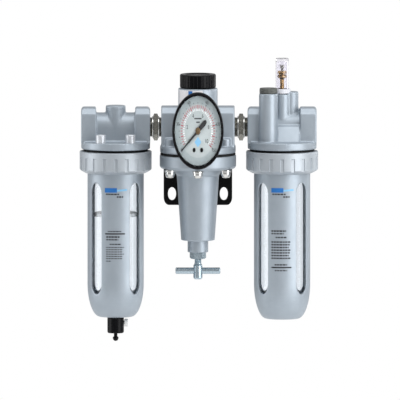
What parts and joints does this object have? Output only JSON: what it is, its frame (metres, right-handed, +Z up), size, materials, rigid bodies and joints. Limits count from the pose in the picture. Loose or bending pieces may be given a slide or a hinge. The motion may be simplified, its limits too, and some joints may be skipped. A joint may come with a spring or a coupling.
{
  "type": "filter regulator lubricator",
  "caption": "Compressed-air set of a bowl filter, a pressure regulator with dial gauge and T-handle, and a drip lubricator, joined by nipples on a wall bracket.",
  "frame": {"origin": "on the bracket's wall face, midway between its two screw slots and 3 mm above them", "axes": "+X along the air flow from the filter's inlet to the lubricator's outlet, +Y into the wall, +Z up"},
  "size_m": [0.2965, 0.1288, 0.2348],
  "materials": {
    "silver_paint": "bluish silver-grey enamel on die-cast alloy, satin",
    "ring_paint": "lighter silver-grey, satin",
    "black_plastic": "black moulded plastic, half matt",
    "black_paint": "black enamel, half gloss",
    "rubber": "black nitrile rubber",
    "nickel": "bright nickel plate",
    "zinc": "bluish zinc plate",
    "dark_steel": "dark plated steel",
    "brass": "plain brass",
    "spring_steel": "bare spring steel",
    "sintered": "porous sintered polymer",
    "white_plastic": "white moulded plastic",
    "dial_face": "pale grey printed dial, matt",
    "clear_bowl": "clear polycarbonate"
  },
  "bodies": {
    "manifold": {"filter_head": "silver_paint", "regulator_body": "silver_paint", "bonnet": "silver_paint", "lubricator_head": "silver_paint", "wall_bracket": "black_paint", "gauge_case": "black_paint", "gauge_bezel": "black_paint", "gauge_dial_screw_left": "black_paint", "gauge_dial_screw_right": "black_paint", "filter_head_gasket": "rubber", "lubricator_head_gasket": "rubber", "diaphragm": "rubber", "bonnet_screw_1": "nickel", "bonnet_screw_2": "nickel", "bonnet_screw_3": "nickel", "bonnet_screw_4": "nickel", "bonnet_screw_5": "nickel", "bonnet_screw_6": "nickel", "inlet_nipple": "dark_steel", "outlet_nipple": "dark_steel", "gauge_movement": "brass", "bourdon_tube": "brass", "gauge_stem": "brass", "metering_block": "brass", "oil_pickup_strainer": "brass", "control_spring": "spring_steel", "valve_spring": "spring_steel", "filter_element": "sintered", "filter_deflector": "white_plastic", "filter_baffle": "white_plastic", "filter_tie_rod": "white_plastic", "sight_dome_collar": "white_plastic", "oil_pickup_tube": "white_plastic", "gauge_dial": "dial_face", "sight_dome": "clear_bowl", "gauge_lens": "clear_bowl"},
    "filter_bowl_set": {"filter_bowl_guard": "silver_paint", "filter_bowl": "clear_bowl", "filter_bowl_seal": "rubber", "drain_body": "black_plastic", "drain_nut": "nickel", "drain_side_spout": "white_plastic"},
    "filter_ring": {"filter_ring_nut": "ring_paint"},
    "drain_button": {"drain_stem": "black_plastic"},
    "lubricator_bowl_set": {"lubricator_bowl_guard": "silver_paint", "lubricator_bowl": "clear_bowl", "lubricator_bowl_seal": "rubber"},
    "lubricator_ring": {"lubricator_ring_nut": "ring_paint"},
    "spring_follower": {"spring_seat": "nickel"},
    "adjuster": {"adjusting_screw": "zinc", "tee_bar": "zinc"},
    "locking_nut": {"lock_nut": "zinc"},
    "diaphragm_centre": {"diaphragm_plate": "nickel"},
    "poppet": {"main_valve": "brass"},
    "cap_seal": {"valve_cap_seal": "rubber"},
    "cap": {"valve_cap": "black_plastic"},
    "fill_seal": {"fill_plug_seal": "rubber"},
    "fill_cap": {"fill_plug": "dark_steel"},
    "pointer": {"gauge_pointer": "black_paint"},
    "drip_adjuster": {"metering_screw": "dark_steel"}
  },
  "joints": [
    {"name": "filter_bowl_drop", "type": "slide", "parent": "manifold", "child": "filter_bowl_set", "axis": [0, 0, -1], "range_m": [0, 0.006]},
    {"name": "filter_ring_turn", "type": "hinge", "parent": "filter_bowl_set", "child": "filter_ring", "pos_m": [-0.1023, -0.052, 0.027], "axis": [0, 0, -1], "range_deg": [0, 720]},
    {"name": "drain_push", "type": "slide", "parent": "filter_bowl_set", "child": "drain_button", "axis": [0, 0, 1], "range_m": [0, 0.002], "stiffness_N_per_m": 800},
    {"name": "lubricator_bowl_drop", "type": "slide", "parent": "manifold", "child": "lubricator_bowl_set", "axis": [0, 0, -1], "range_m": [0, 0.006]},
    {"name": "lubricator_ring_turn", "type": "hinge", "parent": "lubricator_bowl_set", "child": "lubricator_ring", "pos_m": [0.1047, -0.052, 0.027], "axis": [0, 0, -1], "range_deg": [0, 720]},
    {"name": "spring_seat_lift", "type": "slide", "parent": "manifold", "child": "spring_follower", "axis": [0, 0, 1], "range_m": [-0.0025, 0.00375], "deforming": ["control_spring"]},
    {"name": "adjusting_screw_turn", "type": "hinge", "parent": "spring_follower", "child": "adjuster", "pos_m": [0, -0.052, -0.045], "axis": [0, 0, 1], "range_deg": [-720, 1080]},
    {"name": "lock_nut_turn", "type": "hinge", "parent": "manifold", "child": "locking_nut", "pos_m": [0, -0.052, -0.0516], "axis": [0, 0, 1], "range_deg": [0, 360]},
    {"name": "diaphragm_lift", "type": "slide", "parent": "manifold", "child": "diaphragm_centre", "axis": [0, 0, 1], "range_m": [0, 0.0012], "stiffness_N_per_m": 1500},
    {"name": "valve_lift", "type": "slide", "parent": "manifold", "child": "poppet", "axis": [0, 0, 1], "range_m": [0, 0.0012], "deforming": ["valve_spring"]},
    {"name": "valve_cap_lift", "type": "slide", "parent": "manifold", "child": "cap_seal", "axis": [0, 0, 1], "range_m": [0, 0.003]},
    {"name": "valve_cap_turn", "type": "hinge", "parent": "cap_seal", "child": "cap", "pos_m": [0, -0.052, 0.09], "axis": [0, 0, 1], "range_deg": [0, 720]},
    {"name": "fill_plug_lift", "type": "slide", "parent": "manifold", "child": "fill_seal", "axis": [0, 0, 1], "range_m": [0, 0.0045]},
    {"name": "fill_plug_turn", "type": "hinge", "parent": "fill_seal", "child": "fill_cap", "pos_m": [0.0877, -0.072, 0.085], "axis": [0, 0, 1], "range_deg": [0, 1080]},
    {"name": "gauge_pointer_turn", "type": "hinge", "parent": "manifold", "child": "pointer", "pos_m": [0, -0.124, 0.0558], "axis": [0, 1, 0], "range_deg": [0, 270], "stiffness_Nm_per_rad": 0.0005},
    {"name": "metering_screw_turn", "type": "hinge", "parent": "manifold", "child": "drip_adjuster", "pos_m": [0.1047, -0.052, 0.1], "axis": [0, 0, 1], "range_deg": [-180, 360]}
  ],
  "couplings": [
    {"joint": "filter_bowl_drop", "follows": "filter_ring_turn", "m_per_rad": 0.00047746},
    {"joint": "lubricator_bowl_drop", "follows": "lubricator_ring_turn", "m_per_rad": 0.00047746},
    {"joint": "spring_seat_lift", "follows": "adjusting_screw_turn", "m_per_rad": 0.00019894},
    {"joint": "valve_lift", "follows": "diaphragm_lift", "ratio": 1},
    {"joint": "valve_cap_lift", "follows": "valve_cap_turn", "m_per_rad": 0.00023873},
    {"joint": "fill_plug_turn", "follows": "fill_plug_lift", "rad_per_m": 4188.8}
  ]
}
